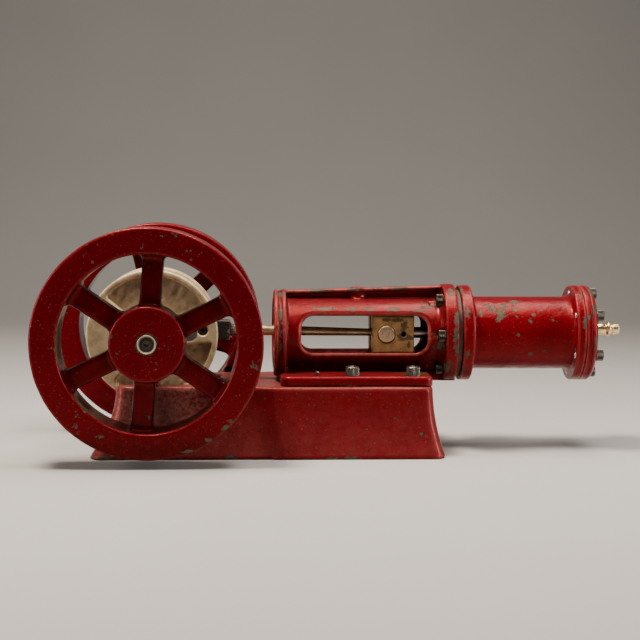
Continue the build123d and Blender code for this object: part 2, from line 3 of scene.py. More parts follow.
import bmesh
import bpy
import numpy as np
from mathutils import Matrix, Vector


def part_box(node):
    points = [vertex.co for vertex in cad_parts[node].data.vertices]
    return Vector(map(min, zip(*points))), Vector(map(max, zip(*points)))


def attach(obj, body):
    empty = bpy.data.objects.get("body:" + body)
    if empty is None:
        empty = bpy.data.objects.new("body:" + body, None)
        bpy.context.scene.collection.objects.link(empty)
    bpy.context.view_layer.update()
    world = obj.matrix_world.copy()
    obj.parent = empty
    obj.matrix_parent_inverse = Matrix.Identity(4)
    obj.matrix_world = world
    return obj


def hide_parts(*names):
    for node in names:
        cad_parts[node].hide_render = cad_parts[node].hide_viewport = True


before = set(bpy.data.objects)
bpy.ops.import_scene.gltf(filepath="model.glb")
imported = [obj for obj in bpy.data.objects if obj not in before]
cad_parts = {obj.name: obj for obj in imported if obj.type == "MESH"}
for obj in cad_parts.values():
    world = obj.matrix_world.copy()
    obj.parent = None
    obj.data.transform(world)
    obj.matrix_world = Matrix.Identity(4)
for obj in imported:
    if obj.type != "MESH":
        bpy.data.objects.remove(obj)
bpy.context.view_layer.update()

import openvdb
from mathutils import Vector
from numpy import clip, hypot, maximum, minimum

# A small horizontal steam engine in worn red enamel. Shapes are worked out in millimetres in the
# engine's own directions: along it from the crank's axis, across it, and in height above the shaft.
mm = 0.001
shaft_low, shaft_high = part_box("front_shaft")
crank_centre = Vector(((shaft_low.x + shaft_high.x) / 2, 0, (shaft_low.z + shaft_high.z) / 2))
along_engine, across_engine, upwards = (1, 0, 0), (0, 1, 0), (0, 0, 1)


def engine_point(along, across, height):
    """A place on the engine as a point of the row frame, in metres."""
    return crank_centre + Vector((along, across, height)) * mm


def engine_box(node):
    """A node's lowest and highest corner in the engine's own directions, in millimetres."""
    low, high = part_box(node)
    return (low - crank_centre) / mm, (high - crank_centre) / mm


def polar(reach, turn):
    """A radius and an angle as two lengths."""
    return reach * cos(turn), reach * sin(turn)


# Camera and lights

photo_camera = bpy.data.objects.new("photo_camera", bpy.data.cameras.new("photo_camera"))
photo_camera.data.lens = 85.0
photo_camera.data.clip_end = 30.0
photo_camera.location = (-0.10815, -1.608, 0.2655)
photo_camera.rotation_euler = (radians(85.41), radians(-0.33), radians(-3.25))
bpy.context.collection.objects.link(photo_camera)
bpy.context.scene.camera = photo_camera


def softbox(name, place, target, width, depth, watts, colour):
    """A large soft light at a place, turned towards a point."""
    light = bpy.data.lights.new(name, "AREA")
    light.shape = "RECTANGLE"
    light.size = width
    light.size_y = depth
    light.energy = watts
    light.color = colour
    holder = bpy.data.objects.new(name, light)
    holder.location = place
    holder.rotation_euler = (Vector(target) - Vector(place)).to_track_quat("-Z", "Y").to_euler()
    bpy.context.collection.objects.link(holder)


engine_middle = (0.0, 0.0, 0.12)
softbox("key_light", (-0.42, -0.18, 1.45), engine_middle, 0.45, 0.35, 44, (1.0, 0.87, 0.74))
softbox("top_light", (0.3, -0.05, 1.55), engine_middle, 1.2, 0.4, 26, (1.0, 0.9, 0.79))
softbox("left_light", (-1.35, -0.32, 0.46), engine_middle, 0.16, 0.85, 11, (1.0, 0.92, 0.86))
softbox("right_light", (1.3, -0.32, 0.46), engine_middle, 0.16, 0.85, 15, (1.0, 0.94, 0.9))


# Node work shared by the materials


def put(tree, kind, feeds=None, **settings):
    """A new node with its settings, each named input fed from a socket or a plain value."""
    made = tree.nodes.new(kind)
    for name, value in settings.items():
        setattr(made, name, value)
    for name, feed in (feeds or {}).items():
        if isinstance(feed, bpy.types.NodeSocket):
            tree.links.new(feed, made.inputs[name])
        else:
            made.inputs[name].default_value = feed
    return made


def reckon(tree, operation, first, second=0.0, clamp=False):
    """The result of one sum on values."""
    return put(tree, "ShaderNodeMath", {0: first, 1: second}, operation=operation, use_clamp=clamp).outputs[0]


def plus(tree, first, second):
    """Two values added."""
    return reckon(tree, "ADD", first, second)


def minus(tree, first, second):
    """One value less another."""
    return reckon(tree, "SUBTRACT", first, second)


def times(tree, first, second):
    """Two values multiplied."""
    return reckon(tree, "MULTIPLY", first, second)


def greater(tree, first, second):
    """The greater of two values."""
    return reckon(tree, "MAXIMUM", first, second)


def above(tree, value, level, strength):
    """How far a value stands above a level, times a strength."""
    return times(tree, minus(tree, value, level), strength)


def aim(tree, operation, first, second=(0, 0, 0), result=0):
    """The result of one sum on vectors."""
    return put(tree, "ShaderNodeVectorMath", {0: first, 1: second}, operation=operation).outputs[result]


def ramp(tree, value, start, end, low=0.0, high=1.0):
    """A value carried smoothly from one range to another."""
    feeds = {"Value": value, "From Min": start, "From Max": end, "To Min": low, "To Max": high}
    return put(tree, "ShaderNodeMapRange", feeds, interpolation_type="SMOOTHSTEP").outputs[0]


def noise(tree, place, scale, detail, roughness=0.55, shift=None):
    """Cloudy noise at a place, scale in lumps to the metre. A shift gives clouds of their own."""
    if shift:
        place = aim(tree, "ADD", place, shift)
    feeds = {"Vector": place, "Scale": scale, "Detail": detail, "Roughness": roughness}
    return put(tree, "ShaderNodeTexNoise", feeds).outputs[0]


def blend(tree, amount, first, second):
    """One colour turned into another by an amount."""
    return put(tree, "ShaderNodeMix", {0: amount, 6: first, 7: second}, data_type="RGBA").outputs[2]


def lay(tree, amount, share, under, colour):
    """A colour laid over another by a share of an amount."""
    return blend(tree, times(tree, amount, share), under, colour)


def start_group(name, places, values, results):
    """An empty node group: inputs for places and for values (with their usual ones), outputs for results."""
    group = bpy.data.node_groups.new(name, "ShaderNodeTree")
    for label in places:
        group.interface.new_socket(label, in_out="INPUT", socket_type="NodeSocketVector")
    for label, value in values.items():
        group.interface.new_socket(label, in_out="INPUT", socket_type="NodeSocketFloat").default_value = value
    for label in results:
        group.interface.new_socket(label, in_out="OUTPUT", socket_type="NodeSocketFloat")
    return group, group.nodes.new("NodeGroupInput").outputs, group.nodes.new("NodeGroupOutput")


def finish_group(group, end, **results):
    """Joins results to a group's outputs."""
    for label, result in results.items():
        group.links.new(result, end.inputs[label])
    return group


def use(tree, group, **feeds):
    """A group's outputs, its inputs fed from sockets or plain values."""
    return put(tree, "ShaderNodeGroup", feeds, node_tree=group).outputs


def make_worn_edge_group():
    """How near a point is to an outer edge: 0 on a thick flat, 1 on a corner, from the metal just under it."""
    group, start, end = start_group("worn_edge", (), {"Width": 0.004}, ("Edge",))
    feeds = {"Distance": start["Width"]}
    shelter = put(group, "ShaderNodeAmbientOcclusion", feeds, samples=8, inside=True, only_local=True).outputs["AO"]
    return finish_group(group, end, Edge=ramp(group, shelter, 0.92, 0.4))


def make_chip_group():
    """One chip in the paint: above 0 inside it, with a ragged edge."""
    values = {"Ragged": 0.5, "Torn": 0.5}
    group, start, end = start_group("chip", ("Place", "Centre", "Size"), values, ("Inside",))
    offset = aim(group, "DIVIDE", aim(group, "SUBTRACT", start["Place"], start["Centre"]), start["Size"])
    reach = aim(group, "LENGTH", offset, result=1)
    torn = above(group, start["Torn"], 0.5, start["Ragged"])
    inside = plus(group, minus(group, 1.0, reach), times(group, torn, 8.0))
    return finish_group(group, end, Inside=inside)


def make_paint_damage_group():
    """Where enamel has gone: Bare is the metal laid open, Rim the broken edge of the paint round it."""
    values = {"Edge": 0.0, "Edge wear": 0.5, "Flaking": 0.3, "Specks": 0.3, "Chips": -1.0}
    paint_thickness = 0.5
    group, start, end = start_group("paint_damage", ("Place",), values, ("Bare", "Rim"))
    place = start["Place"]
    patches = noise(group, place, 60, 5, 0.62)
    crumbs = noise(group, place, 230, 5, 0.68, (0.31, 0.17, 0.05))
    specks = noise(group, place, 700, 2, 0.5, (0.07, 0.41, 0.23))
    on_edge = times(group, start["Edge"], start["Edge wear"])
    on_edge = plus(group, on_edge, above(group, crumbs, 0.6, 2.0))
    on_edge = plus(group, on_edge, above(group, patches, 0.58, 2.6))
    flakes = plus(group, above(group, patches, 0.7, 2.4), crumbs)
    flakes = plus(group, flakes, times(group, start["Flaking"], 0.25))
    pricks = plus(group, specks, above(group, start["Specks"], 1.0, 0.22))
    depth = greater(group, on_edge, flakes)
    depth = greater(group, depth, times(group, pricks, 0.8))
    depth = greater(group, depth, plus(group, start["Chips"], paint_thickness))
    bare = ramp(group, depth, paint_thickness, 0.54)
    rim = reckon(group, "SUBTRACT", ramp(group, depth, 0.4, paint_thickness), bare, clamp=True)
    return finish_group(group, end, Bare=bare, Rim=rim)


def make_cast_skin_group():
    """The skin of a sand casting under paint: slow hollows, lumps and fine pits, as a height."""
    group, start, end = start_group("cast_skin", ("Place",), {"Lumps": 1.0}, ("Height", "Pit"))
    place = start["Place"]
    slow = noise(group, place, 45, 2, 0.5)
    lumps = noise(group, place, 190, 3, 0.5)
    grain = noise(group, place, 900, 3, 0.6)
    cells = {"Vector": place, "Scale": 420.0}
    holes = put(group, "ShaderNodeTexVoronoi", cells).outputs[0]
    where = ramp(group, noise(group, place, 130, 2), 0.5, 0.68)
    pits = times(group, ramp(group, holes, 0.3, 0.05), where)
    height = plus(group, times(group, slow, 0.9), times(group, lumps, 0.3))
    height = times(group, height, start["Lumps"])
    height = plus(group, height, times(group, grain, 0.15))
    height = minus(group, height, times(group, pits, 0.16))
    return finish_group(group, end, Height=height, Pit=pits)


def make_turning_marks_group():
    """Rings left by a lathe tool round an axis, on ends and sides alike, as a value from 0 to 1."""
    rings_to_metre, slant_on_ends = 900.0, 1.37
    group, start, end = start_group("turning_marks", ("Place", "Centre", "Axis"), {}, ("Rings",))
    offset = aim(group, "SUBTRACT", start["Place"], start["Centre"])
    along = aim(group, "DOT_PRODUCT", offset, start["Axis"], result=1)
    axial = put(group, "ShaderNodeVectorMath", {0: start["Axis"], "Scale": along}, operation="SCALE").outputs[0]
    reach = aim(group, "LENGTH", aim(group, "SUBTRACT", offset, axial), result=1)
    turn = plus(group, along, times(group, reach, slant_on_ends))
    at = put(group, "ShaderNodeCombineXYZ", {"X": times(group, turn, rings_to_metre)}).outputs[0]
    return finish_group(group, end, Rings=noise(group, at, 1.0, 3, 0.7))


def make_dirt_and_shade_group():
    """How much dirt and painted shade lie in a hollow, from its ambient occlusion: 1 deep in a corner, 0 in the open.
    """
    values = {"Reach": 0.008, "Open": 0.85, "Closed": 0.25}
    group, start, end = start_group("dirt_and_shade_group", ("Place",), values, ("Dirt",))
    shelter = put(group, "ShaderNodeAmbientOcclusion", {"Distance": start["Reach"]}, samples=6).outputs["AO"]
    cloud = noise(group, start["Place"], 120, 4, 0.6)
    dirt_and_shade = times(group, ramp(group, shelter, start["Open"], start["Closed"]), ramp(group, cloud, 0.2, 0.6))
    return finish_group(group, end, Dirt=dirt_and_shade)


worn_edge = make_worn_edge_group()
chip = make_chip_group()
paint_damage = make_paint_damage_group()
cast_skin = make_cast_skin_group()
turning_marks = make_turning_marks_group()
dirt_and_shade_group = make_dirt_and_shade_group()


def start_material(name):
    """An empty material: its tree, its shader and the place on the piece."""
    material = bpy.data.materials.new(name)
    material.use_nodes = True
    tree = material.node_tree
    place = put(tree, "ShaderNodeTexCoord").outputs["Object"]
    return material, tree, tree.nodes["Principled BSDF"], place


def raise_bump(tree, height, depth, strength, under=None):
    """A bump of a depth in metres, laid over another."""
    feeds = {"Height": height, "Distance": depth, "Strength": strength}
    if under is not None:
        feeds["Normal"] = under
    return put(tree, "ShaderNodeBump", feeds).outputs[0]


def join(tree, socket, shader, name):
    """Feeds one of the shader's inputs."""
    tree.links.new(socket, shader.inputs[name])


def spots_at(tree, place, spots):
    """Above 0 inside any of some ragged spots (centre, half sizes, raggedness), alike front and rear."""
    torn = noise(tree, place, 260, 5, 0.68)
    parts = put(tree, "ShaderNodeSeparateXYZ", {0: place}).outputs
    front = times(tree, reckon(tree, "ABSOLUTE", parts["Y"]), -1.0)
    folded = put(tree, "ShaderNodeCombineXYZ", {"X": parts["X"], "Y": front, "Z": parts["Z"]}).outputs[0]
    deepest = -1.0
    for centre, size, ragged in spots:
        feeds = {"Centre": engine_point(*centre), "Size": [part * mm for part in size], "Ragged": ragged}
        deepest = greater(tree, use(tree, chip, Place=folded, Torn=torn, **feeds)["Inside"], deepest)
    return deepest


# Some of these colours carry painted light: the rubbed pink is partly painted highlight, the near black is painted
# shade, the dirt browns are partly painted shade, and the dust colours are partly painted sheen and light.
thin_red = (0.04, 0.0006, 0.002, 1)
rubbed_and_highlight_pink = (0.44, 0.13, 0.11, 1)
grit_pink = (0.38, 0.12, 0.1, 1)
painted_shade_black = (0.018, 0.0004, 0.001, 1)
pit_brown = (0.035, 0.004, 0.004, 1)
dirt_and_shade_brown = (0.02, 0.007, 0.004, 1)
settled_dust_and_sheen = (0.19, 0.07, 0.058, 1)
dust_and_light_film = (0.3, 0.13, 0.105, 1)
oil_brown = (0.055, 0.036, 0.01, 1)
broken_paint = (0.045, 0.006, 0.005, 1)
iron_dark, iron_light = (0.018, 0.019, 0.014, 1), (0.118, 0.125, 0.092, 1)
metal_dirt_and_shade = (0.012, 0.008, 0.005, 1)


def red_enamel(
    name, edge_wear, flaking, specks, lumps=1.0, dust_and_sheen=0.0, chips=(), oily=(), dust_and_light_patches=(), recess_shade=0.0,
    tint=(0.135, 0.0006, 0.0058),
):
    """Glossy red enamel on cast iron: chipped and oily spots, dirt and painted shade in its hollows, deeper painted
    shade in its shelter, dust and painted sheen on faces turned up, dust and painted light in some patches, and painted
    highlights along its edges.
    """
    material, tree, shader, place = start_material(name)
    edge = use(tree, worn_edge, Width=0.005)["Edge"]
    spots = spots_at(tree, place, chips)
    feeds = {"Place": place, "Edge": edge, "Edge wear": edge_wear, "Flaking": flaking, "Specks": specks, "Chips": spots}
    damage = use(tree, paint_damage, **feeds)
    skin = use(tree, cast_skin, Place=place, Lumps=lumps)
    # Dirt and painted shade in the hollows: it darkens the paint and dulls its gloss.
    dirt_and_shade = use(tree, dirt_and_shade_group, Place=place, Reach=0.01)["Dirt"]

    dark = tuple(part * 0.8 for part in tint)
    paint = blend(tree, ramp(tree, noise(tree, place, 28, 4, 0.6), 0.3, 0.72), (*dark, 1), (*tint, 1))
    thin = ramp(tree, noise(tree, place, 1300, 2, 0.5), 0.42, 0.3, 0.0, 0.45)
    paint = blend(tree, thin, paint, thin_red)
    # Painted highlight: edges made lighter and pinker, as if catching light.
    paint = lay(tree, edge, 0.55, paint, (tint[0] * 1.9, tint[1] * 7, tint[2] * 2.5, 1))
    # Worn paint and painted highlight: pale pink lines along the edges.
    rubbed_and_highlit = times(tree, ramp(tree, edge, 0.4, 0.74), ramp(tree, noise(tree, place, 85, 3), 0.26, 0.46))
    paint = lay(tree, rubbed_and_highlit, 0.62, paint, rubbed_and_highlight_pink)
    grit = ramp(tree, noise(tree, place, 620, 2, 0.5, (0.11, 0.29, 0.37)), 0.68, 0.72)
    paint = lay(tree, grit, 0.4, paint, grit_pink)
    # Painted shade: paint in the deep shelter of rims, ribs and undersides is darkened towards black.
    if recess_shade:
        shade = use(tree, dirt_and_shade_group, Place=place, Reach=0.045, Open=0.99, Closed=0.8)["Dirt"]
        paint = lay(tree, shade, recess_shade, paint, painted_shade_black)
    paint = lay(tree, skin["Pit"], 0.75, paint, pit_brown)
    # Painted shade as well as dirt: the paint turns dark brown in hollows.
    paint = lay(tree, dirt_and_shade, 0.65, paint, dirt_and_shade_brown)
    # Dust and painted sheen: a pale film on faces turned up, where the top light falls.
    if dust_and_sheen:
        normal = put(tree, "ShaderNodeNewGeometry").outputs["Normal"]
        facing_up = put(tree, "ShaderNodeSeparateXYZ", {0: normal}).outputs["Z"]
        settled_and_sheen = times(tree, ramp(tree, facing_up, -0.25, 0.9), noise(tree, place, 90, 4, 0.65))
        paint = lay(tree, settled_and_sheen, dust_and_sheen, paint, settled_dust_and_sheen)
    # Dust and painted light: a pale film lightens the paint in given patches, where the base lies in shadow.
    if dust_and_light_patches:
        film = ramp(tree, spots_at(tree, place, dust_and_light_patches), -0.3, 0.7, 0.0, 0.75)
        film = times(tree, film, ramp(tree, noise(tree, place, 640, 3, 0.6), 0.3, 0.62, 0.5, 1.0))
        paint = blend(tree, film, paint, dust_and_light_film)
    if oily:
        film = ramp(tree, spots_at(tree, place, oily), -0.2, 0.6, 0.0, 0.8)
        paint = blend(tree, film, paint, oil_brown)
    metal = blend(tree, noise(tree, place, 330, 5, 0.7), iron_dark, iron_light)
    colour = blend(tree, damage["Rim"], paint, broken_paint)
    colour = blend(tree, damage["Bare"], colour, metal)
    join(tree, colour, shader, "Base Color")

    gloss = ramp(tree, noise(tree, place, 75, 4, 0.6), 0.3, 0.75, 0.27, 0.4)
    gloss = plus(tree, gloss, times(tree, dirt_and_shade, 0.3))
    rough = plus(tree, gloss, times(tree, damage["Bare"], 0.28))
    join(tree, rough, shader, "Roughness")
    join(tree, times(tree, damage["Bare"], 0.35), shader, "Metallic")
    sealed = minus(tree, 1.0, damage["Bare"])
    join(tree, times(tree, sealed, 0.06), shader, "Coat Weight")
    shader.inputs["Coat Roughness"].default_value = 0.1
    shader.inputs["Specular IOR Level"].default_value = 0.42
    shader.inputs["Specular Tint"].default_value = (1.0, 0.05, 0.025, 1)

    under = raise_bump(tree, skin["Height"], 0.0013, 0.65)
    join(tree, raise_bump(tree, sealed, 0.00035, 0.8, under), shader, "Normal")
    return material


def bare_metal(
    name, light, dark, roughness, metallic=1.0, stain=(0.03, 0.02, 0.012), staining=0.3, axis=None,
    centre=crank_centre, mottle=90, oily=(),
):
    """Turned or rubbed metal with stains and oily spots, dirt and painted shade in its hollows, and tool marks round an
    axis if it has one.
    """
    material, tree, shader, place = start_material(name)
    cloud = noise(tree, place, mottle, 5, 0.65)
    colour = blend(tree, ramp(tree, cloud, 0.3, 0.7), (*dark, 1), (*light, 1))
    spots = noise(tree, place, mottle * 2.4, 5, 0.7, (0.2, 0.5, 0.1))
    spots = ramp(tree, spots, 0.66 - 0.2 * staining, 0.72)
    spots = times(tree, spots, min(staining * 1.6, 1.0))
    # Dirt and painted shade in the hollows: it darkens the metal and dulls it.
    dirt_and_shade = use(tree, dirt_and_shade_group, Place=place, Reach=0.005)["Dirt"]
    if oily:
        spots = greater(tree, spots, ramp(tree, spots_at(tree, place, oily), -0.1, 0.3))
    colour = blend(tree, spots, colour, (*stain, 1))
    colour = lay(tree, dirt_and_shade, 0.6, colour, metal_dirt_and_shade)
    edge = use(tree, worn_edge, Width=0.0018)["Edge"]
    bright = tuple(min(part * 1.35 + 0.04, 1.0) for part in light)
    colour = lay(tree, edge, 0.5, colour, (*bright, 1))
    join(tree, colour, shader, "Base Color")
    rough = noise(tree, place, mottle * 1.7, 4, 0.6)
    rough = ramp(tree, rough, 0.25, 0.75, roughness - 0.07, roughness + 0.1)
    dull = greater(tree, spots, dirt_and_shade)
    join(tree, plus(tree, rough, times(tree, dull, 0.25)), shader, "Roughness")
    shine = minus(tree, 1.0, times(tree, dull, 0.6))
    join(tree, times(tree, shine, metallic), shader, "Metallic")
    normal = raise_bump(tree, noise(tree, place, 800, 4, 0.65), 0.00022, 0.5)
    if axis:
        rings = use(tree, turning_marks, Place=place, Centre=centre, Axis=axis)["Rings"]
        normal = raise_bump(tree, rings, 0.00018, 0.7, normal)
    join(tree, normal, shader, "Normal")
    return material


# Casting: a shape is a field of distances to its surface, below nothing inside the metal


class Mould:
    """The block of space round one casting, cut into small cubes."""

    def __init__(self, low, high, cube):
        margin = 3
        self.cube = cube
        self.low = np.array(low, np.float32) - margin * cube
        counts = np.ceil((np.array(high) - self.low) / cube).astype(int) + margin + 1
        ticks = [self.low[side] + np.float32(cube) * np.arange(counts[side], dtype=np.float32) for side in range(3)]
        self.along, self.across, self.height = np.meshgrid(*ticks, indexing="ij", sparse=True)

    def waves(self, length, depth, seed):
        """The slow unevenness of sand, never standing proud of the drawn surface."""
        draw = np.random.default_rng(seed)
        swell, swells = 0, 9
        for _ in range(swells):
            turn = draw.normal(size=3)
            turn *= 2 * pi / (length * draw.uniform(0.7, 1.5)) / np.linalg.norm(turn)
            turn = turn.astype(np.float32)
            phase = np.float32(draw.uniform(0, 2 * pi))
            swell = swell + np.sin(turn[0] * self.along + turn[1] * self.across + turn[2] * self.height + phase)
        return clip(swell / (swells / 2), -1, 1) * np.float32(depth / 2) + np.float32(depth / 2)

    def cast(self, name, shape):
        """The shape's surface as a smooth mesh object in the row frame."""
        far_outside = 3.0
        grid = openvdb.FloatGrid(far_outside)
        grid.copyFromArray(np.ascontiguousarray(shape, np.float32))
        points, _, quads = grid.convertToPolygons(isovalue=0.0, adaptivity=0.0)
        points = (points * self.cube + self.low) * mm + np.array(crank_centre)
        return new_piece(name, points.tolist(), quads.tolist())


def side_mould(side, bottom, reach, inner, outer, cube):
    """The mould of a round casting that lies on one side of the engine."""
    near, far = sorted((inner * side, outer * side))
    return Mould((-reach, near, bottom), (reach, far, reach), cube)


def new_piece(name, points, faces):
    """A mesh object made from points in metres and faces, shaded smooth."""
    mesh = bpy.data.meshes.new(name)
    mesh.from_pydata(points, [], faces)
    mesh.shade_smooth()
    piece = bpy.data.objects.new(name, mesh)
    bpy.context.collection.objects.link(piece)
    return piece


def between(value, low, high):
    """Distance outside a slab."""
    return maximum(low - value, value - high)


def meet(first, second, edge):
    """What two shapes share, its corner rounded to a radius."""
    inner = minimum(maximum(first, second), -edge)
    return inner + hypot(maximum(first + edge, 0), maximum(second + edge, 0))


def weld(first, second, fillet):
    """Two shapes together, the hollow between them filled to a radius."""
    outer = maximum(minimum(first, second), fillet)
    return outer - hypot(maximum(fillet - first, 0), maximum(fillet - second, 0))


def cut(body, tool, edge):
    """The body with the tool's shape taken out, the edge left rounded."""
    return meet(body, -tool, edge)


def plate(first, second, half_first, half_second, corner):
    """Distance outside a rectangle with rounded corners, centred on nothing."""
    over_first = np.abs(first) - (half_first - corner)
    over_second = np.abs(second) - (half_second - corner)
    outside = hypot(maximum(over_first, 0), maximum(over_second, 0))
    return outside + minimum(maximum(over_first, over_second), 0) - corner


# Turning


def soften(outline):
    """An outline of (along, radius, corner) with each corner of some size rounded."""
    soft, steps = [], 5
    for place, (along, reach, corner) in enumerate(outline):
        here = Vector((along, reach))
        if not corner or place in (0, len(outline) - 1):
            soft.append(here)
            continue
        before = Vector(outline[place - 1][:2]) - here
        after = Vector(outline[place + 1][:2]) - here
        first = here + before.normalized() * min(corner, before.length * 0.49)
        last = here + after.normalized() * min(corner, after.length * 0.49)
        for step in range(steps + 1):
            t = step / steps
            soft.append(first * (1 - t) ** 2 + here * 2 * t * (1 - t) + last * t**2)
    return soft


def ring_faces(rows, facets):
    """The faces between rows of points that lie in rings."""
    faces = []
    for row in range(rows - 1):
        for facet in range(facets):
            beside = (facet + 1) % facets
            low, high = row * facets, (row + 1) * facets
            faces.append((low + facet, low + beside, high + beside, high + facet))
    return faces


def turned(name, outline, centre, direction, facets=128):
    """A lathe-turned piece: its outline is (along, radius, corner) from one end to the other."""
    outline = soften(outline)
    turn = Vector(direction).to_track_quat("Z", "Y").to_matrix()
    points = []
    for along, reach in outline:
        for facet in range(facets):
            spot = turn @ Vector((*polar(reach, 2 * pi * facet / facets), along))
            points.append(Vector(centre) + spot * mm)
    piece = new_piece(name, points, ring_faces(len(outline), facets))
    weld_points(piece)
    piece.modifiers.new("even_shading", "WEIGHTED_NORMAL").keep_sharp = False
    return piece


def weld_points(piece):
    """Joins points that lie on each other, as at the ends of a turned piece, and faces all sides outwards."""
    work = bmesh.new()
    work.from_mesh(piece.data)
    bmesh.ops.remove_doubles(work, verts=work.verts, dist=1e-6)
    bmesh.ops.recalc_face_normals(work, faces=work.faces)
    work.to_mesh(piece.data)
    work.free()
    piece.data.shade_smooth()


def fit(piece, body, slot, material, *nodes):
    """Gives a piece its material, its body and the nodes it stands for."""
    piece.data.materials.clear()
    piece.data.materials.append(material)
    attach(piece, body)
    if nodes:
        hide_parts(*nodes)


# Materials: each spot is its centre and its half sizes in the engine's directions, and how ragged it is

base_chips = [
    ((-63, -84, -121), (6, 8, 2), 0.6), ((-46, -86, -121), (8, 8, 2.4), 0.6), ((82, -86, -121), (5, 8, 2.2), 0.5),
    ((186, -86, -122), (7, 8, 1.8), 0.5), ((205, -86, -122), (8, 8, 2.2), 0.6), ((250, -74, -82), (2.4, 6, 1.8), 0.3),
]
window_chips = [
    ((180, -25, 27), (12, 9, 2), 0.5), ((208, -26, 26.6), (7, 9, 1.7), 0.5), ((227, -26, 26.6), (6, 9, 1.6), 0.4),
    ((252, -26, 26.6), (8, 9, 1.7), 0.5), ((279, -27, 25), (6, 7, 1.5), 0.5), ((208, -25, -27.5), (6, 6, 1.6), 0.5),
]
rib_chips = [((176, -7, 45), (12, 5, 2.4), 0.5), ((211, -7, 46), (7, 5, 2.2), 0.5), ((262, -7, 48), (9, 5, 1.6), 0.6)]
left_flange_chips = [
    ((133.5, -18, 42.8), (5, 8, 3.5), 0.7), ((133.5, -40, 23), (2.6, 7, 8), 0.7), ((133.5, -46, 5), (2, 5, 9), 0.7),
    ((133.5, -45, -11), (1.8, 5, 6), 0.7),
]
right_flange_chips = [
    ((314, -26, 45), (4, 9, 4), 0.8), ((317, -49, 19), (3.2, 5, 7), 0.7), ((316, -52, 2.5), (2.8, 5, 7), 0.7),
    ((316.5, -51, -12), (2.4, 5, 6), 0.7), ((309, -40, -34), (3, 6, 5), 0.7), ((302, -36, -9), (4.5, 6, 5), 0.6),
    ((292, -22, 30), (7, 5, 2.2), 0.7),
]
# Behind the flywheel: dust and painted light on the base, in the wheel's shadow.
dust_and_light_behind_wheel = [((2, -84, -66), (70, 30, 44), 0.35)]
guide_oil = [((305, -36, -32), (9, 14, 7), 0.6), ((280, -40, -38), (26, 20, 3), 0.6), ((303, -38, -14), (5, 8, 8), 0.5)]
guide_chips = window_chips + rib_chips + left_flange_chips + right_flange_chips
barrel_chips = [
    ((358, -27, 27.7), (5.2, 7, 3.2), 0.6), ((366, -31, 22.7), (5.6, 7, 4.6), 0.6),
    ((363, -35, 16.6), (3.2, 6, 3), 0.6), ((369, -25, 30), (3.6, 6, 2.6), 0.6), ((382, -28, 26.6), (3, 5, 1.8), 0.4),
    ((401, -32, 21.5), (2.4, 5, 1.7), 0.3), ((409, -28, 26), (1.4, 4, 1), 0.3), ((384, -38.7, 1), (1.6, 4, 1.6), 0.4),
    ((398, -33, -20.4), (2, 5, 2), 0.4), ((382, -18, 34.4), (5, 5, 1.4), 0.6), ((353, -24, 31), (4, 6, 1.4), 0.8),
    ((345, -30, 24), (2, 5, 4), 1),
]
cylinder_flange_chips = [
    ((324, -22, 45.5), (3.6, 8, 4), 0.8), ((328, -45, 24), (3, 6, 6), 0.8), ((329, -47, -19.5), (2.2, 5, 4), 0.7),
    ((325, -36, -36), (2.6, 6, 4), 0.7), ((455, -29, 42), (3.4, 7, 5), 0.8), ((453, -49, 13), (2.2, 4, 6), 0.8),
    ((455, -50, -7), (2, 4, 4), 0.7),
]
cover_chips = [
    ((465, -24, 45), (4, 8, 4), 0.8), ((465, -50, -6.5), (2.2, 4, 5), 0.7), ((463, -42, 28), (2.6, 5, 5), 0.8),
]
rim_chips = [
    ((40, -141, -105), (6, 5, 1.8), 0.5), ((60, -141, -94), (3, 4, 2), 0.5), ((76, -141, -81), (3, 5, 3.4), 0.5),
    ((82, -141, -75), (1.6, 4, 2.2), 0.5), ((39.3, -141, 91.5), (1, 2, 1), 0.1), ((43.1, -141, 91.5), (1, 2, 1), 0.1),
    ((43.3, -141, 83), (1.2, 2, 1.2), 0.1), ((-44, -141, -90), (3, 3, 1.4), 0.6), ((0, -141, 0), (11, 3, 11), 0.05),
]
rubbed_rim_inside = [((-88, -111, 6), (5.5, 25, 29), 0.3), ((-64, -111, -61), (11, 25, 8), 0.4)]
enamel_on_base = red_enamel("enamel_on_base", 0.42, 0.06, 0.4, 1.5, 0.85, base_chips, dust_and_light_patches=dust_and_light_behind_wheel)
enamel_on_guide = red_enamel("enamel_on_guide", 0.62, 0.16, 0.35, 1.0, 0.1, guide_chips, guide_oil, recess_shade=0.45)
wheel_tint = (0.098, 0.0005, 0.0048)
front_wheel_chips = rim_chips + rubbed_rim_inside
# The front wheel's spokes, set back in the rim, get strong painted shade.
enamel_on_front_wheel = red_enamel(
    "enamel_on_front_wheel", 0.36, 0.0, 0.4, 0.6, chips=front_wheel_chips, recess_shade=0.95, tint=wheel_tint
)
enamel_on_rear_wheel = red_enamel(
    "enamel_on_rear_wheel", 0.36, 0.02, 0.4, 0.6, chips=rim_chips, recess_shade=0.6, tint=wheel_tint
)
cylinder_chips = barrel_chips + cylinder_flange_chips
enamel_on_cylinder = red_enamel("enamel_on_cylinder", 0.8, 0.22, 0.4, 1.7, chips=cylinder_chips)
enamel_on_cover = red_enamel("enamel_on_cover", 0.8, 0.2, 0.35, 0.7, chips=cover_chips)
enamel_on_posts = red_enamel("enamel_on_posts", 0.4, 0.12, 0.3)

